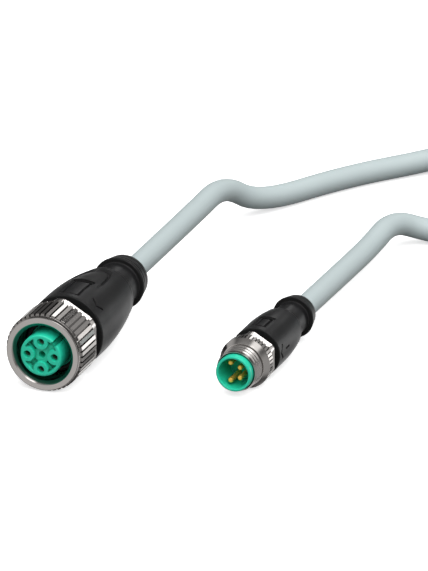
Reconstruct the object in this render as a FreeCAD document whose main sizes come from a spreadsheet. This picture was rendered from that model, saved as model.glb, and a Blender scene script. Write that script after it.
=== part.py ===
"""Actuator and sensor extension cable, drawn in millimetres.

A round cable joins two moulded connectors: a four-way M12 socket end with a hexagonal
coupling nut, and a four-way M8 pin end with a threaded coupling sleeve. Both lie on the
ground, z = 0, side by side, with their fronts towards -Y. The spare cable is coiled
beside them. The origin is on the ground, in the middle of the two connectors.
"""
import FreeCAD, Part
import math
import os
import types

import Sketcher

SIZES = {
    # both ends
    "seat_gap": 0.02,
    "running_gap": 0.07,
    "end_spacing": 34.3,
    "end_stagger": 10.55,
    # cable
    "cable_radius": 2.17,
    "core_radius": 0.6,
    "core_circle_radius": 0.9,
    "stripped_length": 1.2,
    # M12 socket end: coupling nut, whose front stands back from the contact face
    "m12_nut_front": 0.9,
    "m12_nut_length": 9.9,
    "m12_wall_over_thread": 1.65,
    "m12_nut_collar_length": 0.9,
    "m12_nut_chamfer": 0.25,
    "m12_nut_edge": 0.1,
    "m12_mouth_rise": 0.15,
    "m12_thread_major_radius": 6.0,
    "m12_thread_depth": 0.54,
    "m12_nut_wall": 2.5,
    "m12_hex_flat_depth": 0.65,
    "m12_hex_band": 1.8,
    "m12_rib_count": 36,
    "m12_rib_gap": 0.5,
    "m12_rib_depth": 0.4,
    # M12 contact carrier
    "m12_mating_gap": 1.38,
    "m12_carrier_rim": 0.35,
    "m12_seal_seat_rise": 0.3,
    "m12_flange_clearance": 0.26,
    "m12_flange_length": 1.2,
    "m12_flange_play": 0.05,
    "m12_flange_step": 0.55,
    "m12_neck_stand_out": 0.8,
    "m12_contact_circle_inset": 1.36,
    "m12_entry_radius": 0.66,
    "m12_entry_depth": 0.9,
    "m12_middle_hole_radius": 0.62,
    "m12_middle_hole_depth": 4.0,
    "m12_rim_width": 0.73,
    "m12_recess_depth": 0.55,
    "m12_petal_radius": 1.42,
    "m12_key_width": 1.0,
    "m12_key_depth": 0.95,
    "m12_key_length": 6.0,
    # M12 socket contacts
    "m12_contact_radius": 0.9,
    "m12_contact_bore_radius": 0.53,
    "m12_contact_bore_depth": 6.5,
    "m12_contact_cover": 0.5,
    "m12_tail_radius": 0.55,
    "m12_tail_length": 2.6,
    # M12 sealing ring, inner mould and grip
    "m12_seal_thickness": 0.95,
    "m12_mould_radius": 4.9,
    "m12_mould_length": 12.4,
    "m12_mould_nose_radius": 3.3,
    "m12_mould_nose_length": 7.0,
    "m12_splice_length": 13.4,
    "m12_grip_gap": 1.9,
    "m12_grip_radius": 7.42,
    "m12_grip_edge": 0.35,
    "m12_grip_straight": 4.3,
    "m12_grip_taper_length": 15.3,
    "m12_grip_taper_drop": 1.7,
    "m12_grip_shoulder": 1.9,
    "m12_grip_waist_radius": 4.25,
    "m12_grip_waist_length": 5.2,
    "m12_grip_collar_radius": 5.22,
    "m12_grip_collar_length": 4.05,
    "m12_grip_exit_radius": 4.48,
    "m12_panel_start": 1.5,
    "m12_panel_length": 8.2,
    "m12_panel_width": 4.9,
    "m12_panel_depth": 0.25,
    "m12_scoop_start": 9.9,
    "m12_scoop_width": 6.2,
    "m12_scoop_end_margin": 0.1,
    "m12_scoop_depth": 0.42,
    # M8 pin end: coupling sleeve, from the front of the green cup
    "m8_cup_stand_out": 1.5,
    "m8_sleeve_length": 8.4,
    "m8_thread_radius": 4.0,
    "m8_thread_length": 3.45,
    "m8_thread_chamfer": 0.4,
    "m8_mouth_chamfer": 0.18,
    "m8_step_rise": 0.2,
    "m8_step_length": 1.25,
    "m8_wall_over_thread": 1.0,
    "m8_sleeve_chamfer": 0.3,
    "m8_hex_flat_depth": 0.425,
    "m8_hex_band": 1.9,
    "m8_rib_count": 28,
    "m8_rib_gap": 0.42,
    "m8_rib_depth": 0.28,
    # M8 contact carrier
    "m8_wall_under_thread": 0.5,
    "m8_cup_wall": 0.55,
    "m8_cup_depth": 5.8,
    "m8_cup_rim": 0.2,
    "m8_snap_height": 0.28,
    "m8_snap_start": 6.5,
    "m8_snap_length": 1.1,
    "m8_snap_play": 0.1,
    "m8_neck_stand_out": 0.8,
    "m8_key_width": 0.8,
    "m8_key_height": 0.4,
    "m8_key_start": 1.6,
    # M8 pin contacts
    "m8_pin_radius": 0.5,
    "m8_pin_inset": 1.0,
    "m8_pin_tip": 0.3,
    "m8_pin_tail_length": 1.5,
    "m8_pin_column": 0.95,
    "m8_pin_wide_row": 1.75,
    "m8_pin_near_row": 1.03,
    # M8 inner mould and grip
    "m8_mould_radius": 3.55,
    "m8_mould_length": 9.3,
    "m8_mould_nose_radius": 2.75,
    "m8_mould_nose_length": 4.0,
    "m8_splice_length": 7.8,
    "m8_grip_gap": 1.8,
    "m8_grip_radius": 4.85,
    "m8_grip_edge": 0.25,
    "m8_grip_straight": 5.2,
    "m8_grip_taper_length": 7.2,
    "m8_grip_taper_drop": 0.58,
    "m8_grip_shoulder": 1.4,
    "m8_grip_waist_radius": 3.2,
    "m8_grip_waist_length": 5.45,
    "m8_grip_collar_radius": 4.14,
    "m8_grip_collar_length": 3.1,
    "m8_grip_exit_radius": 3.46,
    "m8_panel_start": 1.1,
    "m8_panel_length": 5.0,
    "m8_panel_width": 3.2,
    "m8_panel_depth": 0.2,
    # chevron marks on the grips
    "mark_width": 0.25,
    "mark_depth": 0.2,
    "mark_arm": 1.9,
    "m12_mark_start": 2.3,
    "m8_mark_start": 0.8,
    # coil of spare cable
    "coil_mean_radius": 21.7,
    "coil_centre_right": 43.3,
    "coil_centre_back": 99.0,
    "turn_pitch": 4.4,
}

HEX_SIDES = 6
KEY_ANGLE = 45.0
MARK_SPREAD = 50.0
M12_MARK_ANGLE = 45.0
M8_MARK_ANGLE = 3.0
BORE_OVERRUN = 1.0
TOP_TURN_START = 100
TOP_TURN_END = -170
TOP_TURN_STEP = 30

doc = FreeCAD.newDocument("ExtensionCable")
sheet = doc.addObject("Spreadsheet::Sheet", "Size")
for row, (alias, number) in enumerate(SIZES.items(), start=1):
    sheet.set(f"A{row}", alias)
    sheet.set(f"B{row}", str(number))
    sheet.setAlias(f"B{row}", alias)
doc.recompute()


class Length:
    """A number together with the sheet formula that it comes from."""

    def __init__(self, value, formula=None):
        self.value = float(value)
        self.formula = formula if formula else repr(float(value))

    def __add__(self, other):
        other = as_length(other)
        return Length(self.value + other.value, f"({self.formula} + {other.formula})")

    def __sub__(self, other):
        other = as_length(other)
        return Length(self.value - other.value, f"({self.formula} - {other.formula})")

    def __mul__(self, other):
        other = as_length(other)
        return Length(self.value * other.value, f"({self.formula} * {other.formula})")

    def __truediv__(self, other):
        other = as_length(other)
        return Length(self.value / other.value, f"({self.formula} / {other.formula})")

    def __neg__(self):
        return Length(-self.value, f"(-{self.formula})")


def as_length(number):
    return number if isinstance(number, Length) else Length(number)


size = types.SimpleNamespace(**{alias: Length(sheet.get(alias), f"Size.{alias}") for alias in SIZES})
ZERO = Length(0)

# radii that follow from the M12 thread
size.m12_thread_minor_radius = size.m12_thread_major_radius - size.m12_thread_depth
size.m12_nut_radius = size.m12_thread_major_radius + size.m12_wall_over_thread
size.m12_nut_collar_radius = size.m12_nut_radius - size.m12_rib_depth
size.m12_nut_face_radius = size.m12_nut_collar_radius - size.m12_nut_edge
size.m12_mouth_radius = size.m12_thread_major_radius + size.m12_mouth_rise
size.m12_hex_across_flats = (size.m12_nut_radius - size.m12_hex_flat_depth) * 2
size.m12_carrier_radius = size.m12_thread_minor_radius - size.m12_mating_gap
size.m12_flange_radius = size.m12_thread_minor_radius - size.m12_flange_clearance
size.m12_neck_radius = size.m12_flange_radius - size.m12_flange_step
size.m12_contact_circle_radius = size.m12_carrier_radius - size.m12_contact_circle_inset
size.m12_recess_radius = size.m12_carrier_radius - size.m12_rim_width

# radii that follow from the M8 thread
size.m8_step_radius = size.m8_thread_radius + size.m8_step_rise
size.m8_sleeve_radius = size.m8_thread_radius + size.m8_wall_over_thread
size.m8_hex_across_flats = (size.m8_sleeve_radius - size.m8_hex_flat_depth) * 2
size.m8_carrier_radius = size.m8_thread_radius - size.m8_wall_under_thread
size.m8_cup_radius = size.m8_carrier_radius - size.m8_cup_wall
size.m8_snap_radius = size.m8_carrier_radius + size.m8_snap_height


def bind(thing, **lengths):
    """Sets properties of an object from lengths, each bound to its formula."""
    for name, length in lengths.items():
        length = as_length(length)
        setattr(thing, name, int(length.value) if name == "Occurrences" else length.value)
        thing.setExpression(name, length.formula)


def new_sketch(body, name, plane, start=ZERO, turn=ZERO):
    """A sketch on one of the body's own planes, moved along +Y by start and turned about it.

    On XZ_Plane the sketch's normal points to -Y, so the offset along it is negative.
    """
    sketch = body.newObject("Sketcher::SketchObject", name)
    roles = {feature.Role: feature for feature in body.Origin.OriginFeatures}
    sketch.AttachmentSupport = (roles[plane], [""])
    sketch.MapMode = "FlatFace"
    axis = FreeCAD.Vector(0, 0, 1)
    sketch.AttachmentOffset = FreeCAD.Placement(
        FreeCAD.Vector(0, 0, -start.value), FreeCAD.Rotation(axis, turn.value)
    )
    sketch.setExpression("AttachmentOffset.Base.z", f"-1 * {start.formula}")
    sketch.setExpression("AttachmentOffset.Rotation.Angle", turn.formula)
    return sketch


def hold(sketch, kind, geometry, length):
    """One constraint on a piece of geometry, bound to a length's formula."""
    index = sketch.addConstraint(Sketcher.Constraint(kind, *geometry, length.value))
    sketch.setExpression(f"Constraints[{index}]", length.formula)


def arc_between(first, last, radius):
    """An arc that bulges away from the axis, or towards it if its radius is negative."""
    chord = last - first
    outward = FreeCAD.Vector(chord.y, -chord.x, 0).normalize()
    if outward.x < 0:
        outward = outward * -1
    if radius < 0:
        outward = outward * -1
    reach = math.sqrt(radius * radius - (chord.Length / 2) ** 2)
    centre = (first + last) * 0.5 - outward * reach
    start_angle = math.atan2(first.y - centre.y, first.x - centre.x)
    end_angle = math.atan2(last.y - centre.y, last.x - centre.x)
    turned_left = (end_angle - start_angle) % math.tau < math.pi
    if not turned_left:
        start_angle, end_angle = end_angle, start_angle
    if end_angle < start_angle:
        end_angle += math.tau
    circle = Part.Circle(centre, FreeCAD.Vector(0, 0, 1), abs(radius))
    return Part.ArcOfCircle(circle, start_angle, end_angle), turned_left


def draw_outline(sketch, corners):
    """A closed outline. A corner is (x, y), or (x, y, radius) where an arc leads to it."""
    corners = [tuple(as_length(part) for part in corner) for corner in corners]
    spots = [FreeCAD.Vector(corner[0].value, corner[1].value, 0) for corner in corners]
    ends = []
    for index, corner in enumerate(corners):
        first = spots[index - 1]
        last = spots[index]
        if len(corner) == 3:
            arc, turned_left = arc_between(first, last, corner[2].value)
            side = sketch.addGeometry(arc, False)
            ends.append((side, 1, 2) if turned_left else (side, 2, 1))
        else:
            side = sketch.addGeometry(Part.LineSegment(first, last), False)
            ends.append((side, 1, 2))
    for index, corner in enumerate(corners):
        side, start, end = ends[index]
        following, next_start, next_end = ends[(index + 1) % len(ends)]
        sketch.addConstraint(Sketcher.Constraint("Coincident", side, end, following, next_start))
        hold(sketch, "DistanceX", (-1, 1, side, end), corner[0])
        hold(sketch, "DistanceY", (-1, 1, side, end), corner[1])
        if len(corner) == 3:
            radius = corner[2] if corner[2].value > 0 else -corner[2]
            hold(sketch, "Radius", (side,), radius)


def turned(name, corners):
    """A body turned about its own Y axis from an outline of (radius, distance) corners."""
    body = doc.addObject("PartDesign::Body", name)
    sketch = new_sketch(body, f"{name}_outline", "XY_Plane")
    draw_outline(sketch, corners)
    doc.recompute()
    turn = body.newObject("PartDesign::Revolution", f"{name}_turn")
    turn.Profile = sketch
    turn.ReferenceAxis = (sketch, ["V_Axis"])
    turn.Angle = 360
    sketch.Visibility = False
    doc.recompute()
    return body


def rectangle(sketch, low_x, high_x, low_y, high_y):
    draw_outline(sketch, [(low_x, low_y), (high_x, low_y), (high_x, high_y), (low_x, high_y)])


def circle(sketch, across, up, radius):
    spot = FreeCAD.Vector(across.value, up.value, 0)
    ring = sketch.addGeometry(Part.Circle(spot, FreeCAD.Vector(0, 0, 1), radius.value), False)
    hold(sketch, "DistanceX", (-1, 1, ring, 3), across)
    hold(sketch, "DistanceY", (-1, 1, ring, 3), up)
    hold(sketch, "Radius", (ring,), radius)


def cut_back(body, sketch, length):
    """A pocket that runs from the sketch towards +Y."""
    before = body.Shape.Volume
    pocket = body.newObject("PartDesign::Pocket", f"{sketch.Name}_cut")
    pocket.Profile = sketch
    bind(pocket, Length=length)
    doc.recompute()
    if body.Shape.Volume >= before:
        raise ValueError(f"{sketch.Name} cuts nothing")
    return pocket


def repeat(body, feature, count):
    """Copies of a feature all round the body's own Y axis."""
    pattern = body.newObject("PartDesign::PolarPattern", f"{feature.Name}_round")
    pattern.Originals = [feature]
    roles = {part.Role: part for part in body.Origin.OriginFeatures}
    pattern.Axis = (roles["Y_Axis"], [""])
    pattern.Angle = 360
    bind(pattern, Occurrences=count)
    body.Tip = pattern
    doc.recompute()
    return pattern


def cut_knurl(body, name, radius, depth, gap, count, start, end):
    """Straight grooves round a turned part, between ribs that face the ground and the sides."""
    sketch = new_sketch(body, f"{name}_groove", "XZ_Plane", start, as_length(180) / count)
    rectangle(sketch, radius - depth, radius + BORE_OVERRUN, -gap / 2, gap / 2)
    repeat(body, cut_back(body, sketch, end - start), count)


def cut_hexagon(body, name, radius, across_flats, start, end):
    """Six flats across the back of a turned part, two of them upright."""
    sketch = new_sketch(body, f"{name}_flat", "XZ_Plane", start)
    rectangle(sketch, across_flats / 2, radius + BORE_OVERRUN, -radius, radius)
    repeat(body, cut_back(body, sketch, end - start + BORE_OVERRUN), as_length(HEX_SIDES))


def tube(points, radius):
    """A round tube along straight runs joined by tangent arcs, and the radii of its bends."""
    edges = []
    radii = []
    place = points[0]
    for before, corner, after in zip(points, points[1:], points[2:]):
        towards = (before - corner).normalize()
        onwards = (after - corner).normalize()
        half_turn = (math.pi - towards.getAngle(onwards)) / 2
        setback = 0.45 * min(before.distanceToPoint(corner), after.distanceToPoint(corner))
        bend = setback / math.tan(half_turn)
        centre = corner + (towards + onwards).normalize() * (bend / math.cos(half_turn))
        middle = centre + (corner - centre).normalize() * bend
        start = corner + towards * setback
        end = corner + onwards * setback
        edges.append(Part.LineSegment(place, start).toShape())
        edges.append(Part.Arc(start, middle, end).toShape())
        radii.append(round(bend, 1))
        place = end
    edges.append(Part.LineSegment(place, points[-1]).toShape())
    path = Part.Wire(edges)
    section = Part.Wire(Part.Circle(points[0], points[1] - points[0], radius).toShape())
    solid = path.makePipeShell([section], True, False)
    if solid.Volume < 0:
        solid.reverse()
    expected = math.pi * radius * radius * path.Length
    if abs(solid.Volume / expected - 1) > 0.01:
        raise ValueError("a tube's volume is not its section times its length")
    return solid, radii, path.Length


def shaped(name, shape, place):
    """A part with a shape of its own, drawn in the frame of its connector."""
    part = doc.addObject("Part::Feature", name)
    part.Shape = shape
    part.Placement = place
    return part


# where the two ends lie: each rests on the ribs of its nut, and the origin is between them
m12_nut_back = size.m12_nut_front + size.m12_nut_length
m12_grip_front = m12_nut_back + size.m12_grip_gap
m12_taper_start = m12_grip_front + size.m12_grip_straight
m12_taper_end = m12_taper_start + size.m12_grip_taper_length
m12_waist_start = m12_taper_end + size.m12_grip_shoulder
m12_collar_start = m12_waist_start + size.m12_grip_waist_length
m12_grip_back = m12_collar_start + size.m12_grip_collar_length

m8_sleeve_back = size.m8_cup_stand_out + size.m8_sleeve_length
m8_grip_front = m8_sleeve_back + size.m8_grip_gap
m8_taper_start = m8_grip_front + size.m8_grip_straight
m8_taper_end = m8_taper_start + size.m8_grip_taper_length
m8_waist_start = m8_taper_end + size.m8_grip_shoulder
m8_collar_start = m8_waist_start + size.m8_grip_waist_length
m8_grip_back = m8_collar_start + size.m8_grip_collar_length

whole_depth = max(m12_grip_back.value, size.end_stagger.value + m8_grip_back.value)
m12_across = (size.m12_nut_radius - size.end_spacing - size.m8_sleeve_radius) / 2
m8_across = m12_across + size.end_spacing
M12_PLACE = FreeCAD.Placement(
    FreeCAD.Vector(m12_across.value, -whole_depth / 2, size.m12_nut_radius.value),
    FreeCAD.Rotation(),
)
M8_PLACE = FreeCAD.Placement(
    FreeCAD.Vector(
        m8_across.value,
        size.end_stagger.value - whole_depth / 2,
        size.m8_sleeve_radius.value,
    ),
    FreeCAD.Rotation(),
)

pieces = {}


def keep(name, part, place):
    """Puts a finished sub-part in its place and lists it under its node's name."""
    part.Label = name
    part.Placement = place
    pieces[name] = part


def shifted(place, spot):
    """The same place, moved sideways and upwards, for what stands off its axis."""
    across, up = spot
    return place * FreeCAD.Placement(FreeCAD.Vector(across.value, 0, up.value), FreeCAD.Rotation())


def m12_coupling_nut():
    front = size.m12_nut_front
    chamfer = size.m12_nut_chamfer
    edge = size.m12_nut_edge
    mouth_depth = size.m12_mouth_radius - size.m12_thread_minor_radius
    wall_front = m12_nut_back - size.m12_nut_wall
    rear_bore = size.m12_neck_radius + size.running_gap
    collar_end = front + size.m12_nut_collar_length
    ribs_start = collar_end + chamfer
    hex_start = m12_nut_back - size.m12_hex_band
    body = turned("m12_coupling_nut", [
        (size.m12_mouth_radius, front),
        (size.m12_nut_face_radius, front),
        (size.m12_nut_collar_radius, front + edge),
        (size.m12_nut_collar_radius, collar_end),
        (size.m12_nut_radius, ribs_start),
        (size.m12_nut_radius, m12_nut_back - chamfer),
        (size.m12_nut_radius - chamfer, m12_nut_back),
        (rear_bore, m12_nut_back),
        (rear_bore, wall_front),
        (size.m12_thread_minor_radius, wall_front),
        (size.m12_thread_minor_radius, front + mouth_depth),
    ])
    cut_knurl(body, "m12_nut", size.m12_nut_radius, size.m12_rib_depth, size.m12_rib_gap,
              size.m12_rib_count, ribs_start, hex_start)
    cut_hexagon(body, "m12_nut", size.m12_nut_radius, size.m12_hex_across_flats,
                hex_start, m12_nut_back)
    keep("m12_coupling_nut", body, M12_PLACE)


# stations along the M12 carrier
m12_flange_back = m12_nut_back - size.m12_nut_wall - size.m12_flange_play
m12_flange_front = m12_flange_back - size.m12_flange_length
m12_carrier_back = m12_nut_back + size.m12_neck_stand_out
m12_seal_seat_radius = size.m12_carrier_radius + size.m12_seal_seat_rise


def m12_contact_carrier():
    rim = size.m12_carrier_rim
    seal_front = m12_flange_front - size.m12_seal_thickness - size.seat_gap
    body = turned("m12_contact_carrier", [
        (0, 0),
        (size.m12_carrier_radius - rim, 0),
        (size.m12_carrier_radius, rim, rim),
        (size.m12_carrier_radius, seal_front),
        (m12_seal_seat_radius, seal_front),
        (m12_seal_seat_radius, m12_flange_front),
        (size.m12_flange_radius, m12_flange_front),
        (size.m12_flange_radius, m12_flange_back),
        (size.m12_neck_radius, m12_flange_back),
        (size.m12_neck_radius, m12_carrier_back),
        (0, m12_carrier_back),
    ])
    recess = new_sketch(body, "m12_face_recess", "XZ_Plane")
    circle(recess, ZERO, ZERO, size.m12_recess_radius)
    cut_back(body, recess, size.m12_recess_depth)

    petal = new_sketch(body, "m12_petal", "XZ_Plane")
    circle(petal, size.m12_contact_circle_radius, ZERO, size.m12_petal_radius)
    pad = body.newObject("PartDesign::Pad", "m12_petal_pad")
    pad.Profile = petal
    pad.Reversed = True
    bind(pad, Length=size.m12_recess_depth)
    doc.recompute()
    repeat(body, pad, as_length(len(M12_SPOTS)))

    rim_trim = new_sketch(body, "m12_petal_trim", "XZ_Plane")
    circle(rim_trim, ZERO, ZERO, size.m12_carrier_radius + size.m12_petal_radius)
    circle(rim_trim, ZERO, ZERO, size.m12_carrier_radius)
    pocket = body.newObject("PartDesign::Pocket", "m12_petal_trim_cut")
    pocket.Profile = rim_trim
    bind(pocket, Length=size.m12_recess_depth)
    doc.recompute()

    entry = new_sketch(body, "m12_entry", "XZ_Plane")
    circle(entry, size.m12_contact_circle_radius, ZERO, size.m12_entry_radius)
    repeat(body, cut_back(body, entry, size.m12_entry_depth + BORE_OVERRUN), as_length(len(M12_SPOTS)))
    chamber = new_sketch(body, "m12_chamber", "XZ_Plane", size.m12_entry_depth)
    circle(chamber, size.m12_contact_circle_radius, ZERO, size.m12_contact_radius + size.seat_gap)
    repeat(body, cut_back(body, chamber, m12_carrier_back), as_length(len(M12_SPOTS)))

    middle = new_sketch(body, "m12_middle_hole", "XZ_Plane")
    circle(middle, ZERO, ZERO, size.m12_middle_hole_radius)
    cut_back(body, middle, size.m12_middle_hole_depth)

    key = new_sketch(body, "m12_keyway", "XZ_Plane", ZERO, as_length(KEY_ANGLE))
    half = size.m12_key_width / 2
    rectangle(key, size.m12_carrier_radius - size.m12_key_depth,
              size.m12_carrier_radius + BORE_OVERRUN, -half, half)
    cut_back(body, key, size.m12_key_length)
    keep("m12_contact_carrier", body, M12_PLACE)


m12_contact_back = m12_carrier_back - size.m12_contact_cover
m12_tail_end = m12_carrier_back + size.m12_tail_length
M12_SPOTS = [
    (size.m12_contact_circle_radius, ZERO),
    (ZERO, size.m12_contact_circle_radius),
    (-size.m12_contact_circle_radius, ZERO),
    (ZERO, -size.m12_contact_circle_radius),
]


def m12_socket_contacts():
    front = size.m12_entry_depth + size.seat_gap
    bore_end = front + size.m12_contact_bore_depth
    for number, spot in enumerate(M12_SPOTS, start=1):
        name = f"m12_socket_contact_{number}"
        body = turned(name, [
            (size.m12_contact_bore_radius, front),
            (size.m12_contact_radius, front),
            (size.m12_contact_radius, m12_contact_back),
            (size.m12_tail_radius, m12_contact_back),
            (size.m12_tail_radius, m12_tail_end),
            (0, m12_tail_end),
            (0, bore_end),
            (size.m12_contact_bore_radius, bore_end),
        ])
        keep(name, body, shifted(M12_PLACE, spot))


def m12_sealing_ring():
    ring = doc.addObject("Part::Torus", "m12_sealing_ring")
    half = size.m12_seal_thickness / 2
    bind(ring, Radius1=m12_seal_seat_radius + size.seat_gap + half, Radius2=half)
    facing = FreeCAD.Rotation(FreeCAD.Vector(1, 0, 0), -90)
    seat = FreeCAD.Vector(0, m12_flange_front.value - half.value, 0)
    keep("m12_sealing_ring", ring, M12_PLACE * FreeCAD.Placement(seat, facing))


# insulated wire ends and the channels that the inner moulds hold them in
M12_JACKET_END = m12_tail_end.value + size.m12_splice_length.value
M8_CARRIER_BACK = m8_sleeve_back + size.m8_neck_stand_out
M8_TAIL_END = M8_CARRIER_BACK + size.m8_pin_tail_length
M8_JACKET_END = M8_TAIL_END.value + size.m8_splice_length.value
M8_SPOTS = [
    (size.m8_pin_column, size.m8_pin_near_row),
    (-size.m8_pin_column, size.m8_pin_wide_row),
    (-size.m8_pin_column, -size.m8_pin_wide_row),
    (size.m8_pin_column, -size.m8_pin_near_row),
]


def wire_path(spot, tail_end, jacket_end, quarter):
    """A wire from its contact's tail to its place in the cable, as four points."""
    across = spot[0].value
    up = spot[1].value
    angle = math.radians(quarter)
    core_across = size.core_circle_radius.value * math.cos(angle)
    core_up = size.core_circle_radius.value * math.sin(angle)
    straight = size.stripped_length.value
    return [
        FreeCAD.Vector(across, tail_end, up),
        FreeCAD.Vector(across, tail_end + straight, up),
        FreeCAD.Vector(core_across, jacket_end - straight, core_up),
        FreeCAD.Vector(core_across, jacket_end, core_up),
    ]


def wires_and_mould(end, spots, quarters, tail_end, jacket_end, tail_radius, outline, place):
    """Four insulated wire ends, and the inner mould with their channels and the cable's seat."""
    blank = turned(f"{end}_mould_blank", outline)
    colours = ("brown", "white", "blue", "black")
    tools = []
    for colour, spot, quarter in zip(colours, spots, quarters):
        points = wire_path(spot, tail_end, jacket_end, quarter)
        wire = tube(points, size.core_radius.value)[0]
        keep(f"{end}_{colour}_wire", shaped(f"{end}_{colour}_wire", wire, place), place)
        channel = tube(points, size.core_radius.value + size.seat_gap.value)[0]
        tools.append(shaped(f"{end}_{colour}_channel", channel, FreeCAD.Placement()))
        socket = doc.addObject("Part::Cylinder", f"{end}_{colour}_tail_seat")
        bind(socket, Radius=tail_radius + size.seat_gap, Height=tail_end)
        socket.Placement = FreeCAD.Placement(
            FreeCAD.Vector(spot[0].value, 0, spot[1].value),
            FreeCAD.Rotation(FreeCAD.Vector(1, 0, 0), -90),
        )
        tools.append(socket)
    seat = doc.addObject("Part::Cylinder", f"{end}_cable_seat")
    bind(seat, Radius=size.cable_radius + size.seat_gap, Height=jacket_end)
    seat.Placement = FreeCAD.Placement(
        FreeCAD.Vector(0, jacket_end, 0), FreeCAD.Rotation(FreeCAD.Vector(1, 0, 0), -90)
    )
    tools.append(seat)
    doc.recompute()
    hollow = doc.addObject("Part::MultiFuse", f"{end}_mould_hollow")
    hollow.Shapes = tools
    mould = doc.addObject("Part::Cut", f"{end}_inner_mould")
    mould.Base = blank
    mould.Tool = hollow
    doc.recompute()
    keep(f"{end}_inner_mould", mould, place)


def mould_outline(radius, front, length, nose_radius, nose_length, grow):
    """The inner mould's outline, grown a little where it is the hollow of the grip."""
    shoulder = front + length
    return [
        (0, front),
        (radius + grow, front),
        (radius + grow, shoulder),
        (nose_radius + grow, shoulder + nose_length),
        (0, shoulder + nose_length),
    ]


def m12_mould_outline(grow):
    return mould_outline(size.m12_mould_radius, m12_carrier_back, size.m12_mould_length,
                         size.m12_mould_nose_radius, size.m12_mould_nose_length, grow)


def m8_mould_outline(grow):
    return mould_outline(size.m8_mould_radius, M8_CARRIER_BACK, size.m8_mould_length,
                         size.m8_mould_nose_radius, size.m8_mould_nose_length, grow)


def tangent_radius(run, fall):
    """The radius of an arc that starts along the axis and falls towards it over a run."""
    return (run * run + fall * fall) / (fall * 2)


def grip_outline(end, front, taper_start, taper_end, waist_start, collar_start, back, hollow):
    """The grip's section: a tapering barrel, a waist and a collar round the cable."""
    outer = getattr(size, f"{end}_grip_radius")
    edge = getattr(size, f"{end}_grip_edge")
    drop = getattr(size, f"{end}_grip_taper_drop")
    taper = getattr(size, f"{end}_grip_taper_length")
    shoulder = getattr(size, f"{end}_grip_shoulder")
    waist = getattr(size, f"{end}_grip_waist_radius")
    collar = getattr(size, f"{end}_grip_collar_radius")
    exit_radius = getattr(size, f"{end}_grip_exit_radius")
    bore = size.cable_radius + size.seat_gap
    hollow_radius, hollow_shoulder = hollow[2]
    nose_radius, nose_end = hollow[3]
    shoulder_radius = outer - drop
    fall = shoulder_radius - waist
    return [
        (hollow_radius, front),
        (outer - edge, front),
        (outer, front + edge, edge),
        (outer, taper_start),
        (shoulder_radius, taper_end, tangent_radius(taper, drop)),
        (waist, waist_start, tangent_radius(shoulder, fall)),
        (waist, collar_start - edge),
        (waist + edge, collar_start, -edge),
        (collar - edge, collar_start),
        (collar, collar_start + edge, edge),
        (exit_radius, back - edge),
        (exit_radius - edge, back, edge),
        (bore, back),
        (bore, nose_end),
        (nose_radius, nose_end),
        (hollow_radius, hollow_shoulder),
    ]


def field_prism(name, width, start, end, rounded):
    """An upright block over a field on top of a grip, with a round back end if wanted."""
    half = width / 2
    height = 2 * size.m12_nut_radius.value
    if rounded:
        straight = end - half
        outline = Part.Wire([
            Part.LineSegment(FreeCAD.Vector(-half, start, 0), FreeCAD.Vector(half, start, 0)).toShape(),
            Part.LineSegment(FreeCAD.Vector(half, start, 0), FreeCAD.Vector(half, straight, 0)).toShape(),
            Part.Arc(FreeCAD.Vector(half, straight, 0), FreeCAD.Vector(0, end, 0),
                     FreeCAD.Vector(-half, straight, 0)).toShape(),
            Part.LineSegment(FreeCAD.Vector(-half, straight, 0), FreeCAD.Vector(-half, start, 0)).toShape(),
        ])
        block = Part.Face(outline).extrude(FreeCAD.Vector(0, 0, height))
    else:
        block = Part.makeBox(width, end - start, height, FreeCAD.Vector(-half, start, 0))
    return shaped(name, block, FreeCAD.Placement())


def sunk_field(name, prism, floor_outline):
    """What a sunk field leaves out of a grip: the prism over the field, down to a turned floor."""
    floor = turned(f"{name}_floor", floor_outline)
    field = doc.addObject("Part::Cut", name)
    field.Base = prism
    field.Tool = floor
    doc.recompute()
    return field


def mark_cut(name, start, radius, angle):
    """A chevron that points to the connector's front, cut into the side of the grip."""
    arm = size.mark_arm.value
    width = size.mark_width.value
    floor = radius - size.mark_depth.value
    bars = []
    for side in (-1, 1):
        bar = Part.makeBox(2 * size.mark_depth.value, arm, width, FreeCAD.Vector(floor, 0, -width / 2))
        bar.rotate(FreeCAD.Vector(0, 0, 0), FreeCAD.Vector(1, 0, 0), side * MARK_SPREAD)
        bars.append(bar)
    chevron = bars[0].fuse(bars[1])
    chevron.translate(FreeCAD.Vector(0, start, 0))
    chevron.rotate(FreeCAD.Vector(0, 0, 0), FreeCAD.Vector(0, 1, 0), -angle)
    return shaped(name, chevron, FreeCAD.Placement())


def cut_grip(end, body, cuts, place):
    tools = doc.addObject("Part::MultiFuse", f"{end}_grip_cuts")
    tools.Shapes = cuts
    grip = doc.addObject("Part::Cut", f"{end}_grip")
    grip.Base = body
    grip.Tool = tools
    doc.recompute()
    keep(f"{end}_grip", grip, place)


def panel_cut(end, front, taper_start, taper_end):
    """The sunk rectangular panel on top of a grip, its floor following the barrel."""
    start = front + getattr(size, f"{end}_panel_start")
    back = start + getattr(size, f"{end}_panel_length")
    width = getattr(size, f"{end}_panel_width")
    drop = getattr(size, f"{end}_grip_taper_drop")
    taper = getattr(size, f"{end}_grip_taper_length")
    floor = getattr(size, f"{end}_grip_radius") - getattr(size, f"{end}_panel_depth")
    prism = field_prism(f"{end}_panel_prism", width.value, start.value, back.value, False)
    return sunk_field(f"{end}_panel", prism, [
        (0, front),
        (floor, front),
        (floor, taper_start),
        (floor - drop, taper_end, tangent_radius(taper, drop)),
        (0, taper_end),
    ])


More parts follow.
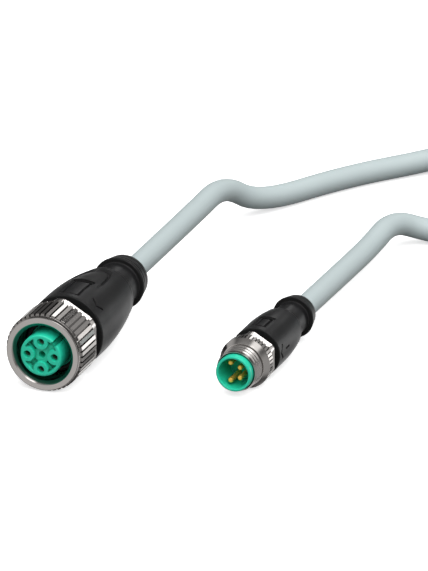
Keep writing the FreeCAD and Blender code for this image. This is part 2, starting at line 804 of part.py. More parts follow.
def m12_grip():
    body = turned("m12_grip_blank", grip_outline(
        "m12", m12_grip_front, m12_taper_start, m12_taper_end, m12_waist_start,
        m12_collar_start, m12_grip_back, m12_mould_outline(size.seat_gap)))
    scoop_start = m12_grip_front + size.m12_scoop_start
    scoop_end = m12_taper_end - size.m12_scoop_end_margin
    taper_radius = tangent_radius(size.m12_grip_taper_length, size.m12_grip_taper_drop)
    front_run = scoop_start - m12_taper_start
    back_run = scoop_end - m12_taper_start
    front_floor = size.m12_grip_radius - front_run * front_run / (taper_radius * 2)
    back_floor = (size.m12_grip_radius - back_run * back_run / (taper_radius * 2)
                  - size.m12_scoop_depth)
    prism = field_prism("m12_scoop_prism", size.m12_scoop_width.value, scoop_start.value,
                        scoop_end.value, True)
    scoop = sunk_field("m12_scoop", prism, [
        (0, scoop_start),
        (front_floor, scoop_start),
        (back_floor, scoop_end),
        (0, scoop_end),
    ])
    panel = panel_cut("m12", m12_grip_front, m12_taper_start, m12_taper_end)
    mark = mark_cut("m12_mark", (m12_grip_front + size.m12_mark_start).value,
                    size.m12_grip_radius.value, M12_MARK_ANGLE)
    cut_grip("m12", body, [scoop, panel, mark], M12_PLACE)


def m8_threaded_sleeve():
    front = size.m8_cup_stand_out
    bore = size.m8_carrier_radius + size.running_gap
    thread_end = front + size.m8_thread_length
    step_end = thread_end + size.m8_step_length
    chamfer = size.m8_sleeve_chamfer
    mouth = size.m8_mouth_chamfer
    hex_start = m8_sleeve_back - size.m8_hex_band
    groove_radius = size.m8_snap_radius + size.running_gap
    groove_start = size.m8_snap_start - size.m8_snap_play
    groove_end = size.m8_snap_start + size.m8_snap_length + size.m8_snap_play
    body = turned("m8_threaded_sleeve", [
        (bore, front + mouth),
        (bore + mouth, front),
        (size.m8_thread_radius - mouth, front),
        (size.m8_thread_radius, front + size.m8_thread_chamfer),
        (size.m8_thread_radius, thread_end),
        (size.m8_step_radius, thread_end),
        (size.m8_sleeve_radius, step_end),
        (size.m8_sleeve_radius, m8_sleeve_back - chamfer),
        (size.m8_sleeve_radius - chamfer, m8_sleeve_back),
        (bore, m8_sleeve_back),
        (bore, groove_end),
        (groove_radius, groove_end),
        (groove_radius, groove_start),
        (bore, groove_start),
    ])
    cut_knurl(body, "m8_sleeve", size.m8_sleeve_radius, size.m8_rib_depth, size.m8_rib_gap,
              size.m8_rib_count, step_end, hex_start)
    cut_hexagon(body, "m8_sleeve", size.m8_sleeve_radius, size.m8_hex_across_flats,
                hex_start, m8_sleeve_back)
    keep("m8_threaded_sleeve", body, M8_PLACE)


def m8_contact_carrier():
    rim = size.m8_cup_rim
    middle_of_lip = (size.m8_carrier_radius + size.m8_cup_radius) / 2
    snap_end = size.m8_snap_start + size.m8_snap_length
    body = turned("m8_contact_carrier", [
        (size.m8_cup_radius, rim),
        (size.m8_cup_radius + rim, 0, rim),
        (size.m8_carrier_radius - rim, 0),
        (size.m8_carrier_radius, rim, rim),
        (size.m8_carrier_radius, size.m8_snap_start),
        (size.m8_snap_radius, size.m8_snap_start),
        (size.m8_snap_radius, snap_end),
        (size.m8_carrier_radius, snap_end),
        (size.m8_carrier_radius, M8_CARRIER_BACK),
        (0, M8_CARRIER_BACK),
        (0, size.m8_cup_depth),
        (size.m8_cup_radius, size.m8_cup_depth),
    ])
    key = new_sketch(body, "m8_key", "XZ_Plane", size.m8_key_start)
    half = size.m8_key_width / 2
    rectangle(key, size.m8_cup_radius - size.m8_key_height, middle_of_lip, -half, half)
    pad = body.newObject("PartDesign::Pad", "m8_key_pad")
    pad.Profile = key
    pad.Reversed = True
    bind(pad, Length=size.m8_cup_depth - size.m8_key_start)
    doc.recompute()
    for number, (across, up) in enumerate(M8_SPOTS, start=1):
        hole = new_sketch(body, f"m8_pin_hole_{number}", "XZ_Plane")
        circle(hole, across, up, size.m8_pin_radius + size.seat_gap)
        cut_back(body, hole, M8_CARRIER_BACK + BORE_OVERRUN)
    keep("m8_contact_carrier", body, M8_PLACE)


def m8_pin_contacts():
    tip = size.m8_pin_tip
    for number, spot in enumerate(M8_SPOTS, start=1):
        name = f"m8_pin_contact_{number}"
        body = turned(name, [
            (0, size.m8_pin_inset),
            (size.m8_pin_radius - tip, size.m8_pin_inset),
            (size.m8_pin_radius, size.m8_pin_inset + tip, tip),
            (size.m8_pin_radius, M8_TAIL_END),
            (0, M8_TAIL_END),
        ])
        keep(name, body, shifted(M8_PLACE, spot))


def m8_grip():
    body = turned("m8_grip_blank", grip_outline(
        "m8", m8_grip_front, m8_taper_start, m8_taper_end, m8_waist_start,
        m8_collar_start, m8_grip_back, m8_mould_outline(size.seat_gap)))
    mark = mark_cut("m8_mark", (m8_grip_front + size.m8_mark_start).value,
                    size.m8_grip_radius.value, M8_MARK_ANGLE)
    panel = panel_cut("m8", m8_grip_front, m8_taper_start, m8_taper_end)
    cut_grip("m8", body, [panel, mark], M8_PLACE)


# the coil: two turns on the ground and one in the hollow between them
coil_centre = FreeCAD.Vector(size.coil_centre_right.value, size.coil_centre_back.value, 0)
pitch = size.turn_pitch.value
cord = size.cable_radius.value
middle_turn = size.coil_mean_radius.value
inner_turn = middle_turn - pitch / 2
outer_turn = middle_turn + pitch / 2
layer_rise = math.sqrt(pitch * pitch - (pitch / 2) ** 2)


def coil_point(radius, angle, height):
    """A point of the coil, its angle in degrees from +X towards +Y."""
    turn = math.radians(angle)
    return coil_centre + FreeCAD.Vector(radius * math.cos(turn), radius * math.sin(turn), height)


def cable_coil():
    """One closed ring with the outer shape of the two turns on the ground."""

    def on_turn(turn_radius, angle):
        turn = math.radians(angle)
        return FreeCAD.Vector(turn_radius + cord * math.cos(turn), 0, cord + cord * math.sin(turn))

    section = Part.Wire([
        Part.LineSegment(on_turn(inner_turn, -90), on_turn(outer_turn, -90)).toShape(),
        Part.Arc(on_turn(outer_turn, -90), on_turn(outer_turn, 0), on_turn(outer_turn, 90)).toShape(),
        Part.Arc(on_turn(outer_turn, 90), on_turn(outer_turn, 120), on_turn(outer_turn, 150)).toShape(),
        Part.LineSegment(on_turn(outer_turn, 150), on_turn(inner_turn, 30)).toShape(),
        Part.Arc(on_turn(inner_turn, 30), on_turn(inner_turn, 60), on_turn(inner_turn, 90)).toShape(),
        Part.Arc(on_turn(inner_turn, 90), on_turn(inner_turn, 180), on_turn(inner_turn, 270)).toShape(),
    ])
    ring = Part.Face(section).revolve(FreeCAD.Vector(0, 0, 0), FreeCAD.Vector(0, 0, 1), 360)
    solid = Part.Solid(ring.Shells[0]) if ring.ShapeType != "Solid" else ring
    place = FreeCAD.Placement(coil_centre, FreeCAD.Rotation())
    keep("cable_coil", shaped("cable_coil", solid, place), place)


# where the two leads run, in the frame of the whole part: straight out of the grips,
# down on to the ground at their bends, and along it to the coil
top_corner_radius = middle_turn / math.cos(math.radians(TOP_TURN_STEP / 2))
M12_LEAD = [
    FreeCAD.Vector(m12_across.value, M12_PLACE.Base.y + M12_JACKET_END, M12_PLACE.Base.z),
    FreeCAD.Vector(m12_across.value, 70.0, M12_PLACE.Base.z),
    FreeCAD.Vector(-11.0, 78.3, 2.3),
    FreeCAD.Vector(-1.0, 98.0, 2.3),
    FreeCAD.Vector(12.0, 113.0, 2.3),
    FreeCAD.Vector(26.0, 118.9, 6.8),
] + [
    coil_point(top_corner_radius, angle, cord + layer_rise)
    for angle in range(TOP_TURN_START, TOP_TURN_END - 1, -TOP_TURN_STEP)
] + [
    coil_point(inner_turn + 0.6, -190, 4.6),
    coil_point(inner_turn, -210, 2.6),
]
M8_LEAD = [
    FreeCAD.Vector(m8_across.value, M8_PLACE.Base.y + M8_JACKET_END, M8_PLACE.Base.z),
    FreeCAD.Vector(m8_across.value, 68.0, M8_PLACE.Base.z),
    FreeCAD.Vector(24.5, 74.2, 2.3),
    FreeCAD.Vector(34.0, 75.4, 2.2),
    coil_point(outer_turn, -90, cord),
]


def cable_lead(name, points):
    solid, radii, length = tube(points, cord)
    print(name, "bend radii", radii, "length", round(length, 1))
    keep(name, shaped(name, solid, FreeCAD.Placement()), FreeCAD.Placement())


m12_coupling_nut()
m12_contact_carrier()
m12_socket_contacts()
m12_sealing_ring()
wires_and_mould("m12", M12_SPOTS, (0, 90, 180, 270), m12_tail_end.value, M12_JACKET_END,
                size.m12_tail_radius, m12_mould_outline(ZERO), M12_PLACE)
m12_grip()
m8_threaded_sleeve()
m8_contact_carrier()
m8_pin_contacts()
wires_and_mould("m8", M8_SPOTS, (45, 135, 225, 315), M8_TAIL_END.value, M8_JACKET_END,
                size.m8_pin_radius, m8_mould_outline(ZERO), M8_PLACE)
m8_grip()
cable_lead("m12_cable_lead", M12_LEAD)
cable_lead("m8_cable_lead", M8_LEAD)
cable_coil()
doc.recompute()

for thing in doc.Objects:
    if "Invalid" in thing.State or "Error" in thing.State:
        raise ValueError(f"{thing.Name} is {thing.State}")
for name, part in pieces.items():
    if part.Shape.isNull() or not part.Shape.isValid():
        raise ValueError(f"{name} has no valid shape")

os.makedirs("parts", exist_ok=True)
for name, part in pieces.items():
    part.Shape.exportStep(f"parts/{name}.step")
print(len(pieces), "sub-parts")
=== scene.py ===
"""Looks of an actuator and sensor extension cable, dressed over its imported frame.

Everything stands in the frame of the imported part, in metres. The sizes of pieces are written in
millimetres, and those of finishes in metres. A turned or moulded piece is a grid of stations
along its outline and angles round its own axis, which runs back along +Y from the front of its
connector. Angles start at +X and rise towards +Z.
"""

import math
from collections import namedtuple

import bmesh
import bpy
import numpy as np
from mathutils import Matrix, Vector


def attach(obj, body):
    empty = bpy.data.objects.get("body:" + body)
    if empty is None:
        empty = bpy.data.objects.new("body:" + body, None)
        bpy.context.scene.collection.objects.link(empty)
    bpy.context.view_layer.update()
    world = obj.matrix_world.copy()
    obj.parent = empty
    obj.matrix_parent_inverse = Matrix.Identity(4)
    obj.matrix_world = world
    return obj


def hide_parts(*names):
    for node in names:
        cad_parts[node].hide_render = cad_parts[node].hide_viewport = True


MM = 0.001
M12_FRONT = Vector((-15.825, -22.3, 7.65)) * MM
M8_FRONT = Vector((18.475, -11.75, 5.0)) * MM

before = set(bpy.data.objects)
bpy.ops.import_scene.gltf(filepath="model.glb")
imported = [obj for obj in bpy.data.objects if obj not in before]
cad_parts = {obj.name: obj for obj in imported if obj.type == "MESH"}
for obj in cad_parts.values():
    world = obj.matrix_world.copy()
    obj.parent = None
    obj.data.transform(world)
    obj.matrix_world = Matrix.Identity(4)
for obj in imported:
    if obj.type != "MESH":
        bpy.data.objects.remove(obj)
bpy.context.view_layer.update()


# The camera

VIEW_CENTRE = Vector((-5.62, 40.6, 0.21)) * MM
VIEW_AZIMUTH = math.radians(21.2)
VIEW_ELEVATION = math.radians(21.38)
VIEW_HEIGHT = 0.1078
LENS = 1200.0
SENSOR = 36.0


def place_camera():
    """A long lens far away, so that the view is as flat as the photograph's."""
    data = bpy.data.cameras.new("studio_camera")
    data.lens = LENS
    data.sensor_width = SENSOR
    distance = VIEW_HEIGHT * LENS / SENSOR
    data.clip_start = 0.1
    data.clip_end = 4 * distance
    camera = bpy.data.objects.new("studio_camera", data)
    bpy.context.scene.collection.objects.link(camera)
    back = Vector((
        math.sin(VIEW_AZIMUTH) * math.cos(VIEW_ELEVATION),
        -math.cos(VIEW_AZIMUTH) * math.cos(VIEW_ELEVATION),
        math.sin(VIEW_ELEVATION),
    ))
    camera.location = VIEW_CENTRE + back * distance
    camera.rotation_mode = "QUATERNION"
    camera.rotation_quaternion = (-back).to_track_quat("-Z", "Y")
    bpy.context.scene.camera = camera


place_camera()


# The cable

CABLE_DIAMETER = 4.34
COIL_CENTRE = (43.3, 99.0)
COIL_STEP = 14
# heights of the cable's middle: on the ground, and over the turn below it
LOW = 2.17
HIGH = 5.98
# the coil's stretches from the M12 end: angle, radius and height where each one ends
COIL_STRETCHES = [
    (100, 21.7, HIGH),
    (-170, 21.7, HIGH),
    (-184, 20.1, 5.3),
    (-210, 19.5, LOW),
    (-490, 19.5, LOW),
    (-530, 23.9, LOW),
    (-810, 23.9, LOW),
]
# the hump where the coil passes over itself: angle, reach to each side and extra height
HUMP_ANGLE = -150
HUMP_REACH = 30
HUMP = 0.6


def coil_points():
    """The coil's turns, pushed out a little because the smooth line cuts inside its points."""
    angles, radii, heights = zip(*COIL_STRETCHES)
    run = [-angle for angle in angles]
    spread = 1 / (0.75 + 0.25 * math.cos(math.radians(COIL_STEP)))
    points = []
    for step in range((angles[0] - angles[-1]) // COIL_STEP + 1):
        angle = angles[0] - step * COIL_STEP
        radius = spread * float(np.interp(-angle, run, radii))
        height = float(np.interp(-angle, run, heights))
        height += HUMP * max(0.0, 1 - abs(angle - HUMP_ANGLE) / HUMP_REACH)
        turn = math.radians(angle)
        points.append((
            COIL_CENTRE[0] + radius * math.cos(turn),
            COIL_CENTRE[1] + radius * math.sin(turn),
            height,
        ))
    return points


def cable_route():
    """The cable's points from inside the M12 grip to inside the M8 grip, in millimetres."""
    m12_lead = [
        (-15.825, 5.3, 7.65),
        (-15.825, 56.0, 7.65),
        (-15.825, 71.5, 8.2),
        (-11.4, 78.6, 2.3),
        (-1.0, 98.0, 2.3),
        (12.0, 113.0, 2.3),
        (26.0, 118.9, 6.8),
    ]
    m8_lead = [
        (34.0, 75.8, 2.2),
        (23.6, 77.0, 2.4),
        (18.475, 71.8, 5.5),
        (18.475, 60.0, 4.4),
        (18.475, 46.0, 4.5),
        (18.475, 8.25, 5.0),
    ]
    return m12_lead + coil_points() + m8_lead


def lay_cable():
    """One smooth cable from connector to connector, in place of its three solids."""
    data = bpy.data.curves.new("grey_cable", "CURVE")
    data.dimensions = "3D"
    data.bevel_depth = 1.0
    data.bevel_resolution = 8
    data.resolution_u = 8
    data.use_fill_caps = True
    route = cable_route()
    spline = data.splines.new("NURBS")
    spline.points.add(len(route) - 1)
    for point, place in zip(spline.points, route):
        point.co = (*(part * MM for part in place), 1)
        point.radius = CABLE_DIAMETER / 2 * MM
    spline.order_u = 3
    spline.use_endpoint_u = True
    cable = bpy.data.objects.new("grey_cable", data)
    bpy.context.scene.collection.objects.link(cable)
    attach(cable, "cordset")
    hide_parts("m12_cable_lead", "cable_coil", "m8_cable_lead")
    return cable


grey_cable = lay_cable()


# The turned and moulded pieces

def rounded(corners, steps=4, closed=True):
    """An outline of (radius, distance) points with its corners rounded.

    A corner is (radius, distance) or (radius, distance, fillet), in millimetres.
    """
    points = []
    count = len(corners)
    for index, corner in enumerate(corners):
        spot = np.array(corner[:2], float)
        at_end = not closed and index in (0, count - 1)
        if len(corner) < 3 or corner[2] == 0 or at_end:
            points.append(spot)
            continue
        before = np.array(corners[index - 1][:2], float) - spot
        after = np.array(corners[(index + 1) % count][:2], float) - spot
        room_before = np.linalg.norm(before)
        room_after = np.linalg.norm(after)
        before /= room_before
        after /= room_after
        half = math.acos(float(np.clip(before @ after, -1, 1))) / 2
        setback = min(corner[2] / math.tan(half), 0.49 * room_before, 0.49 * room_after)
        reach = setback / math.cos(half)
        centre = spot + (before + after) / np.linalg.norm(before + after) * reach
        fillet = setback * math.tan(half)
        first = spot + before * setback - centre
        last = spot + after * setback - centre
        start = math.atan2(first[1], first[0])
        sweep = (math.atan2(last[1], last[0]) - start + math.pi) % math.tau - math.pi
        for step in range(steps + 1):
            angle = start + sweep * step / steps
            points.append(centre + fillet * np.array([math.cos(angle), math.sin(angle)]))
    return np.array(points)


def even_stations(outline, longest, closed=True):
    """The outline with points added so that no side is longer than asked at its middle."""
    points = []
    count = len(outline)
    last = count if closed else count - 1
    for index in range(last):
        first = outline[index]
        second = outline[(index + 1) % count]
        length = np.linalg.norm(second - first)
        limit = longest(0.5 * (first + second)) if callable(longest) else longest
        pieces = max(1, math.ceil(length / limit))
        for step in range(pieces):
            points.append(first + (second - first) * step / pieces)
    if not closed:
        points.append(outline[-1])
    return np.array(points)


def turned_piece(name, outline, angles, place, relief=None, closed=True):
    """A grid mesh of outline stations and angles. Relief may move its points."""
    radius = np.repeat(outline[:, :1], len(angles), axis=1)
    distance = np.repeat(outline[:, 1:2], len(angles), axis=1)
    angle = np.repeat(angles[None, :], len(outline), axis=0)
    if relief:
        radius, distance = relief(radius, distance, angle)
    around = np.radians(angle)
    places = np.stack([radius * np.cos(around), distance, radius * np.sin(around)], axis=2)
    rows, columns = radius.shape
    faces = []
    last = rows if closed else rows - 1
    for row in range(last):
        below = row * columns
        above = ((row + 1) % rows) * columns
        for column in range(columns):
            beside = (column + 1) % columns
            faces.append((below + column, below + beside, above + beside, above + column))
    mesh = bpy.data.meshes.new(name)
    mesh.from_pydata((places.reshape(-1, 3) * MM).tolist(), [], faces)
    piece = bpy.data.objects.new(name, mesh)
    bpy.context.scene.collection.objects.link(piece)
    piece.location = place
    finish_mesh(mesh)
    return piece


def finish_mesh(mesh, sharp=40):
    """Closes the poles, turns the faces outwards and shades all but sharp edges smooth."""
    work = bmesh.new()
    work.from_mesh(mesh)
    bmesh.ops.remove_doubles(work, verts=work.verts, dist=0.4e-6)
    bmesh.ops.dissolve_degenerate(work, edges=work.edges, dist=0.2e-6)
    bmesh.ops.recalc_face_normals(work, faces=work.faces)
    for face in work.faces:
        face.smooth = True
    work.to_mesh(mesh)
    work.free()
    mesh.set_sharp_from_angle(angle=math.radians(sharp))


def step_up(value, start, width):
    """0 before start, 1 after start + width, smooth between."""
    share = np.clip((value - start) / width, 0, 1)
    return share * share * (3 - 2 * share)


def within(value, low, high, edge):
    """1 between low and high, falling to 0 over an edge inside them."""
    return step_up(value, low, edge) * (1 - step_up(value, high - edge, edge))


def off_angle(angle, centre):
    """Degrees from an angle, between -180 and 180."""
    return (angle - centre + 180) % 360 - 180


# ribs all round, radius over them, gap between two, its depth, and the turn of the first in ribs
Knurl = namedtuple("Knurl", "ribs radius gap depth phase")
NUT_KNURL = Knurl(45, 7.65, 0.36, 0.36, 0.5875)
SLEEVE_KNURL = Knurl(45, 5.0, 0.25, 0.26, 0.85)
# how wide the sloping side of a rib is
RIB_WALL = 0.06
# the hexagons: distance across the flats, where they start, half a flat's angle and its slope
NUT_FLATS = 14.0
NUT_FLATS_START = 9.0
SLEEVE_FLATS = 9.15
SLEEVE_FLATS_START = 8.0
FLAT_HALF_ANGLE = 23.8
FLAT_TAPER = 0.06


def rib_angles(knurl):
    """Angles at the middle, the edges and the feet of the ribs, and at the ends of the flats."""
    period = 360 / knurl.ribs
    wall = period / 2 - math.degrees(knurl.gap / 2 / knurl.radius)
    foot = wall + math.degrees(RIB_WALL / knurl.radius)
    ring = [-foot, -wall, -0.5 * wall, 0, 0.5 * wall, wall, foot]
    ribs = [
        ((rib + knurl.phase) * period + offset) % 360
        for rib in range(knurl.ribs) for offset in ring
    ]
    flats = [(60 * flat + side * FLAT_HALF_ANGLE) % 360 for flat in range(6) for side in (-1, 1)]
    return np.unique(np.round(ribs + flats, 3))


def rib_depth(angle, knurl):
    """How far the surface lies below a round top. Each rib has a flat top, as it was milled."""
    period = 360 / knurl.ribs
    from_rib = np.abs((angle - knurl.phase * period + period / 2) % period - period / 2)
    wall = period / 2 - math.degrees(knurl.gap / 2 / knurl.radius)
    on_top = np.radians(np.minimum(from_rib, wall))
    top = knurl.radius * (1 - math.cos(math.radians(wall)) / np.cos(on_top))
    slope = np.clip((from_rib - wall) / math.degrees(RIB_WALL / knurl.radius), 0, 1)
    return np.where(from_rib <= wall, top, knurl.depth * slope)


def hexagon(angle, across_flats, behind):
    """The radius of a hexagon with two upright flats, drawn in a little towards the back."""
    half = across_flats / 2 - FLAT_TAPER * behind
    return half / np.cos(np.radians(off_angle(angle * 6, 0) / 6))


def knurl_and_flats(radius, distance, angle, outside, knurl, ribs_start, flats_start, across_flats):
    """The radius with the ribs cut in, and behind them the hexagon."""
    ribbed = outside & (distance > ribs_start) & (distance < flats_start)
    radius = np.where(ribbed, np.minimum(radius, knurl.radius - rib_depth(angle, knurl)), radius)
    banded = outside & (distance >= flats_start)
    flats = hexagon(angle, across_flats, distance - flats_start)
    return np.where(banded, np.minimum(radius, flats), radius)


def m12_nut_relief(radius, distance, angle):
    """The knurl, the hexagon and the thread inside, which has a pitch of 1 mm."""
    radius = knurl_and_flats(radius, distance, angle, radius > 6.85, NUT_KNURL, 1.85,
                             NUT_FLATS_START, NUT_FLATS)
    threaded = (radius > 5.3) & (radius < 5.6) & (distance > 1.7) & (distance < 8.2)
    turn = (distance - angle / 360) % 1.0
    groove = 0.2 * (1 - np.cos(math.tau * turn)) * within(distance, 2.4, 8.0, 1.2)
    return np.where(threaded, radius + groove, radius), distance


def m12_nut():
    """The coupling nut: a smooth front ring, the knurl, and the hexagon behind it."""
    outline = rounded([
        (6.15, 0.9, 0.04),
        (7.25, 0.9, 0.26),
        (7.25, 1.80, 0.08),
        (7.65, 2.05, 0.1),
        (7.65, 8.94),
        (7.58, 9.0),
        (7.58, 9.0001),
        (7.65, 9.04),
        (7.65, 10.55, 0.15),
        (7.40, 10.8, 0.08),
        (4.72, 10.8, 0.12),
        (4.72, 8.3, 0.1),
        (5.46, 8.3, 0.1),
        (5.46, 1.59, 0.08),
    ])

    def longest(middle):
        if middle[0] < 5.6 and middle[1] < 8.3:
            return 0.12
        return 0.9

    outline = even_stations(outline, longest)
    nut = turned_piece("m12_knurled_nut", outline, rib_angles(NUT_KNURL), M12_FRONT, m12_nut_relief)
    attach(nut, "m12_nut")
    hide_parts("m12_coupling_nut")
    return nut


def m8_sleeve_relief(radius, distance, angle):
    """The thread, which has a pitch of 1 mm, the knurl and the hexagon."""
    outside = radius > 3.65
    threaded = outside & (distance > 1.85) & (distance < 4.95)
    turn = (distance - angle / 360 + 0.35) % 1.0
    crest = 4.0 - 0.17 * (1 - np.cos(math.tau * turn)) * within(distance, 1.9, 4.95, 0.25)
    radius = np.where(threaded, np.minimum(radius, crest), radius)
    radius = knurl_and_flats(radius, distance, angle, outside, SLEEVE_KNURL, 6.3,
                             SLEEVE_FLATS_START, SLEEVE_FLATS)
    return radius, distance


def m8_sleeve():
    """The turning sleeve: the thread, a cone, the knurl and the hexagon."""
    outline = rounded([
        (3.75, 1.5, 0.03),
        (3.82, 1.5, 0.02),
        (4.00, 1.9, 0.08),
        (4.00, 4.95, 0.02),
        (4.20, 4.95, 0.05),
        (5.00, 6.2, 0.1),
        (5.00, 6.28),
        (5.00, 6.33),
        (5.00, 7.95),
        (4.95, 8.0),
        (4.95, 8.0001),
        (5.00, 8.04),
        (5.00, 9.78, 0.05),
        (4.88, 9.9, 0.03),
        (3.57, 9.9, 0.1),
        (3.57, 7.70),
        (3.85, 7.70),
        (3.85, 6.40),
        (3.57, 6.40),
        (3.57, 1.68, 0.02),
    ])

    def longest(middle):
        if middle[0] > 3.9 and middle[1] < 4.95:
            return 0.06
        return 0.8

    outline = even_stations(outline, longest)
    sleeve = turned_piece("m8_knurled_sleeve", outline, rib_angles(SLEEVE_KNURL), M8_FRONT,
                          m8_sleeve_relief)
    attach(sleeve, "m8_sleeve")
    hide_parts("m8_threaded_sleeve")
    return sleeve


# the M12 face: radius of the circle of entries, of a petal, and where the channels end
ENTRY_CIRCLE = 2.72
PETAL_RADIUS = 1.42
CHANNEL_END = 3.3
# the keyway: its angle, half its width and the radius of its floor
KEY_ANGLE = 45
KEY_HALF = 0.52
KEY_RADIUS = 3.13


def m12_insert_relief(radius, distance, angle):
    """The face's channels, pits and entries, and the keyway in its side."""
    around = np.radians(angle)
    across = radius * np.cos(around)
    up = radius * np.sin(around)
    from_entries = np.full(radius.shape, 9.0)
    for quarter in range(4):
        turn = math.radians(90 * quarter)
        middle = (ENTRY_CIRCLE * math.cos(turn), ENTRY_CIRCLE * math.sin(turn))
        from_entries = np.minimum(from_entries, np.hypot(across - middle[0], up - middle[1]))
    channel = step_up(from_entries - PETAL_RADIUS, 0.0, 0.14)
    depth = 0.8 * channel * (1 - step_up(radius, CHANNEL_END, 0.14))
    for diagonal in (135, 225, 315):
        off = np.radians(off_angle(angle, diagonal))
        beside = np.abs(radius * np.sin(off))
        along = radius * np.cos(off)
        pit = within(along, 1.5, CHANNEL_END, 0.1) * (1 - step_up(beside, 0.34, 0.1))
        depth = np.maximum(depth, 1.3 * pit)
    funnels = 0.95 * (1 - step_up(from_entries, 0.60, 0.12))
    bores = 6.4 * (1 - step_up(from_entries, 0.555, 0.01))
    middle_hole = 4.0 * (1 - step_up(radius, 0.57, 0.1))
    for hole in (funnels, bores, middle_hole):
        depth = np.maximum(depth, hole)
    distance = np.where(distance < 0.3, distance + depth, distance)
    off_key = off_angle(angle, KEY_ANGLE)
    key = (np.abs(radius * np.sin(np.radians(off_key))) < KEY_HALF) & (np.abs(off_key) < 20)
    key = key & (radius > KEY_RADIUS)
    key_face = key & (distance < 0.6)
    key_wall = key & (distance >= 0.3) & (distance < 6.0)
    distance = np.where(key_face, np.maximum(distance, 0.55), distance)
    radius = np.where(key_face | key_wall, KEY_RADIUS, radius)
    return radius, distance


def m12_insert():
    """The green contact carrier: petals round the entries, cross channels and the keyway."""
    face = [(radius, 0.0) for radius in np.arange(0.0, 3.74, 0.045)]
    rim = [
        (3.73 + 0.35 * math.sin(math.radians(step)), 0.35 - 0.35 * math.cos(math.radians(step)))
        for step in range(15, 91, 15)
    ]
    side = [(4.08, 1.2), (4.08, 3.5), (4.08, 5.98), (4.08, 6.0), (4.08, 6.01), (4.38, 6.08),
            (4.38, 7.05), (5.2, 7.05), (5.2, 8.25), (4.65, 8.25), (4.65, 11.6), (0.0, 11.6)]
    outline = np.array(face + rim + side)
    angles = np.arange(0, 360, 1.0)
    insert = turned_piece("m12_green_insert", outline, angles, M12_FRONT, m12_insert_relief,
                          closed=False)
    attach(insert, "cordset")
    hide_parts("m12_contact_carrier")
    return insert


def m8_cup_relief(radius, distance, angle):
    """The key rib inside the cup."""
    inside = (radius < 3.0) & (radius > 2.8)
    key = (np.abs(radius * np.sin(np.radians(angle))) < 0.4) & (np.abs(off_angle(angle, 0)) < 20)
    raised = inside & key & (distance > 1.6)
    return np.where(raised, 2.55, radius), distance


def m8_cup():
    """The green cup round the pins, with its floor, a flange and the stem behind."""
    outline = rounded([
        (0.0, 5.8),
        (2.95, 5.8, 0.15),
        (2.95, 0.0, 0.22),
        (3.50, 0.0, 0.24),
        (3.50, 6.5),
        (3.78, 6.5, 0.1),
        (3.78, 7.6, 0.1),
        (3.50, 7.6),
        (3.50, 10.7),
        (0.0, 10.7),
    ], steps=6, closed=False)
    outline = even_stations(outline, 0.4, closed=False)
    cup = turned_piece("m8_green_cup", outline, np.arange(0, 360, 1.5), M8_FRONT, m8_cup_relief,
                       closed=False)
    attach(cup, "cordset")
    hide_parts("m8_contact_carrier")
    return cup


def chevron(angle, distance, radius, middle, tip, arm, width, spread=50):
    """1 in the grooves of a chevron that points to the front, on the unrolled surface."""
    across = np.radians(off_angle(angle, middle)) * radius
    back = distance - tip
    lean_back = math.cos(math.radians(spread))
    lean_side = math.sin(math.radians(spread))
    cut = np.zeros(radius.shape)
    for side in (-1, 1):
        along = back * lean_back + side * across * lean_side
        beside = -back * lean_side + side * across * lean_back
        in_width = 1 - step_up(np.abs(beside), width / 2 - 0.06, 0.12)
        cut = np.maximum(cut, within(along, -width / 2, arm, 0.05) * in_width)
    return cut


def grip_outline(end):
    """The grip's section, outside and inside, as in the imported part."""
    if end == "m12":
        outer, edge, drop, start, stop = 7.42, 0.35, 1.7, 17.0, 32.3
        waist, collar, exit_radius = 4.25, 5.22, 4.48
        front, shoulder, collar_start, back = 12.7, 1.9, 39.4, 43.45
        hollow = [(2.19, 43.45), (2.19, 31.0), (3.32, 31.0), (4.92, 24.0), (4.92, 12.7)]
    else:
        outer, edge, drop, start, stop = 4.85, 0.25, 0.58, 16.9, 24.1
        waist, collar, exit_radius = 3.2, 4.14, 3.46
        front, shoulder, collar_start, back = 11.7, 1.4, 30.95, 34.05
        hollow = [(2.19, 34.05), (2.19, 24.0), (2.77, 24.0), (3.57, 20.0), (3.57, 11.7)]
    taper_radius = ((stop - start) ** 2 + drop ** 2) / (drop * 2)
    barrel = []
    for distance in np.linspace(start, stop, 60):
        run = distance - start
        barrel.append((outer - taper_radius + math.sqrt(taper_radius ** 2 - run * run), distance))
    fall = outer - drop - waist
    shoulder_points = []
    for step in range(1, 9):
        turn = math.radians(90 * step / 8)
        shoulder_points.append((waist + fall * math.cos(turn), stop + shoulder * math.sin(turn)))
    outside = rounded([
        (hollow[-1][0], front),
        (outer, front, edge),
        (outer, start),
    ], steps=6, closed=False)
    neck = rounded([
        (waist, stop + shoulder),
        (waist, collar_start, edge),
        (collar, collar_start, edge),
        (exit_radius, back, edge),
        (2.19, back),
    ], steps=6, closed=False)
    return np.array(
        [tuple(point) for point in outside[:-1]] + barrel + shoulder_points
        + [tuple(point) for point in neck[1:]] + hollow[1:-1]
    )


def framed_panel(across, distance, half, front, back, depth):
    """A sunk label panel with a finer line round it, left bare."""
    def area(margin, edge):
        sides = within(across, margin - half, half - margin, edge)
        return sides * within(distance, front + margin, back - margin, edge)

    return depth * area(0.0, 0.12) + 0.35 * (area(0.4, 0.08) - area(0.8, 0.08))


def across_top(radius, angle):
    """How far a point lies to the side of the top line, and whether it is in the upper half."""
    off_top = off_angle(angle, 90)
    return radius * np.sin(np.radians(np.clip(off_top, -90, 90))), np.abs(off_top) < 89


# the thumb scoop on the M12 grip: half its width, its front and its length
SCOOP_HALF = 3.5
SCOOP_FRONT = 20.0
SCOOP_LENGTH = 12.3


